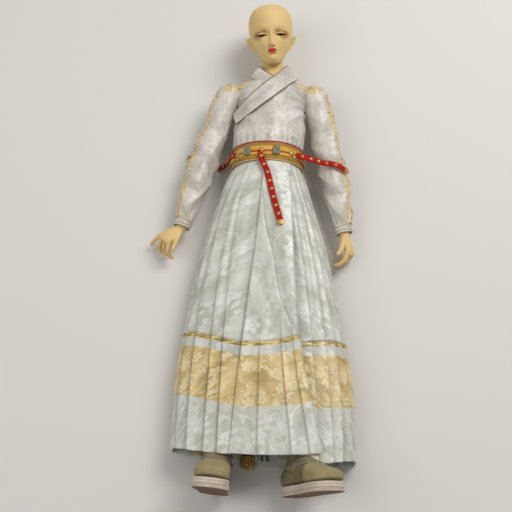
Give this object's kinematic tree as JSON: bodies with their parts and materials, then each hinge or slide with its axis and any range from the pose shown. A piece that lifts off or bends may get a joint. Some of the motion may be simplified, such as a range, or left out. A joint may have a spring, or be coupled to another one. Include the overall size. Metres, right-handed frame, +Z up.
{
  "type": "ball-jointed doll",
  "caption": "Ball-jointed resin doll lying on its back in a crossed-collar robe, sash with studded straps, pleated wrap skirt and boots; socketed joints let it be posed.",
  "frame": {"origin": "on the floor, under the middle of the doll's box", "axes": "+Y runs from the feet to the head, +Z up from the floor and out of the chest, +X to the doll's left hand"},
  "size_m": [0.2662, 0.6782, 0.1058],
  "materials": {
    "resin": "matte cast resin",
    "eye": "polished",
    "hook_steel": "drawn wire",
    "robe_cloth": "satin weave",
    "collar_cloth": "brocade with dark piping",
    "skirt_cloth": "silvery damask",
    "border_cloth": "gold brocade on white",
    "sash_cloth": "gold brown brocade",
    "belt_cloth": "yellow gold brocade",
    "jade": "polished stone look",
    "red_leather": "studded",
    "tail_cloth": "woven ribbon",
    "suede": "suede",
    "toe_leather": "nubuck",
    "midsole_rubber": "matte",
    "outsole_rubber": "matte"
  },
  "bodies": {
    "pelvis": {"lower_torso": "resin", "sash": "sash_cloth", "belt": "belt_cloth", "right_plaque": "jade", "left_plaque": "jade", "front_strap": "red_leather", "left_strap": "red_leather", "right_strap": "red_leather", "right_tail": "tail_cloth", "left_tail": "tail_cloth", "right_skirt_panel": "skirt_cloth", "left_skirt_panel": "skirt_cloth", "right_skirt_border": "border_cloth", "left_skirt_border": "border_cloth"},
    "chest": {"upper_torso": "resin", "bodice": "robe_cloth", "inner_collar": "collar_cloth", "outer_collar": "collar_cloth"},
    "neck": {"neck_hook": "hook_steel"},
    "skull": {"head": "resin", "head_cap": "resin", "right_eye": "eye", "left_eye": "eye"},
    "shoulder_right": {"right_shoulder_ball": "resin"},
    "arm_right": {"right_upper_arm": "resin", "right_upper_sleeve": "robe_cloth"},
    "forearm_right": {"right_forearm": "resin", "right_lower_sleeve": "robe_cloth", "right_cuff": "collar_cloth"},
    "palm_right": {"right_hand": "resin"},
    "leg_right": {"right_thigh": "resin"},
    "calf_right": {"right_shin": "resin", "right_boot_shaft": "suede"},
    "boot_right": {"right_foot": "resin", "right_boot_vamp": "toe_leather", "right_midsole": "midsole_rubber", "right_outsole": "outsole_rubber"},
    "shoulder_left": {"left_shoulder_ball": "resin"},
    "arm_left": {"left_upper_arm": "resin", "left_upper_sleeve": "robe_cloth"},
    "forearm_left": {"left_forearm": "resin", "left_lower_sleeve": "robe_cloth", "left_cuff": "collar_cloth"},
    "palm_left": {"left_hand": "resin"},
    "leg_left": {"left_thigh": "resin"},
    "calf_left": {"left_shin": "resin", "left_boot_shaft": "suede"},
    "boot_left": {"left_foot": "resin", "left_boot_vamp": "toe_leather", "left_midsole": "midsole_rubber", "left_outsole": "outsole_rubber"}
  },
  "joints": [
    {"name": "waist_bend", "type": "hinge", "parent": "pelvis", "child": "chest", "pos_m": [0.01823, 0.12107, 0.0387], "axis": [1, 0, 0], "range_deg": [-8, 25], "deforming": ["bodice"]},
    {"name": "head_turn", "type": "hinge", "parent": "chest", "child": "neck", "pos_m": [0.01823, 0.25807, 0.0387], "axis": [0, 1, 0], "range_deg": [-60, 60]},
    {"name": "head_nod", "type": "hinge", "parent": "neck", "child": "skull", "pos_m": [0.01823, 0.25807, 0.0387], "axis": [1, 0, 0], "range_deg": [-20, 15], "deforming": ["inner_collar", "outer_collar"]},
    {"name": "right_shoulder_swing", "type": "hinge", "parent": "chest", "child": "shoulder_right", "pos_m": [-0.03877, 0.20507, 0.0387], "axis": [-1, 0, 0], "range_deg": [-30, 110], "deforming": ["right_strap"]},
    {"name": "right_arm_raise", "type": "hinge", "parent": "shoulder_right", "child": "arm_right", "pos_m": [-0.03877, 0.20507, 0.0387], "axis": [0, 0, -1], "range_deg": [-4, 65]},
    {"name": "right_elbow_bend", "type": "hinge", "parent": "arm_right", "child": "forearm_right", "pos_m": [-0.0685, 0.10783, 0.0307], "axis": [-0.9563, 0.2924, 0], "range_deg": [0, 85], "deforming": ["right_upper_sleeve", "right_lower_sleeve"]},
    {"name": "right_wrist_bend", "type": "hinge", "parent": "forearm_right", "child": "palm_right", "pos_m": [-0.09707, 0.0144, 0.02301], "axis": [0.7319, -0.6801, 0.042], "range_deg": [-40, 40]},
    {"name": "right_hip_bend", "type": "hinge", "parent": "pelvis", "child": "leg_right", "pos_m": [-0.01077, 0.01807, 0.0387], "axis": [-0.9965, 0.0837, 0], "range_deg": [-5, 75], "deforming": ["right_skirt_panel", "right_tail"]},
    {"name": "right_knee_bend", "type": "hinge", "parent": "leg_right", "child": "calf_right", "pos_m": [-0.02416, -0.14136, 0.0387], "axis": [0.9965, -0.0837, 0], "range_deg": [0, 85], "deforming": ["right_skirt_border"]},
    {"name": "right_ankle_bend", "type": "hinge", "parent": "calf_right", "child": "boot_right", "pos_m": [-0.03696, -0.29383, 0.0387], "axis": [-0.9957, 0.0861, -0.0348], "range_deg": [-35, 8], "deforming": ["right_boot_shaft"]},
    {"name": "left_shoulder_swing", "type": "hinge", "parent": "chest", "child": "shoulder_left", "pos_m": [0.07523, 0.20507, 0.0387], "axis": [-1, 0, 0], "range_deg": [-30, 110]},
    {"name": "left_arm_raise", "type": "hinge", "parent": "shoulder_left", "child": "arm_left", "pos_m": [0.07523, 0.20507, 0.0387], "axis": [0, 0, 1], "range_deg": [-4, 65]},
    {"name": "left_elbow_bend", "type": "hinge", "parent": "arm_left", "child": "forearm_left", "pos_m": [0.09689, 0.10572, 0.0307], "axis": [-0.977, -0.213, 0], "range_deg": [0, 85], "deforming": ["left_upper_sleeve", "left_lower_sleeve", "left_strap"]},
    {"name": "left_wrist_bend", "type": "hinge", "parent": "forearm_left", "child": "palm_left", "pos_m": [0.1177, 0.01027, 0.02301], "axis": [0.4295, 0.2126, -0.8777], "range_deg": [-40, 40]},
    {"name": "left_hip_bend", "type": "hinge", "parent": "pelvis", "child": "leg_left", "pos_m": [0.04723, 0.01807, 0.0387], "axis": [-0.9988, -0.0489, 0], "range_deg": [-5, 75], "deforming": ["left_skirt_panel", "front_strap", "left_tail"]},
    {"name": "left_knee_bend", "type": "hinge", "parent": "leg_left", "child": "calf_left", "pos_m": [0.05504, -0.14173, 0.0387], "axis": [0.9988, 0.0489, 0], "range_deg": [0, 85], "deforming": ["left_skirt_border"]},
    {"name": "left_ankle_bend", "type": "hinge", "parent": "calf_left", "child": "boot_left", "pos_m": [0.06252, -0.29455, 0.0387], "axis": [-0.8452, -0.0783, 0.5286], "range_deg": [-35, 8], "deforming": ["left_boot_shaft"]}
  ]
}
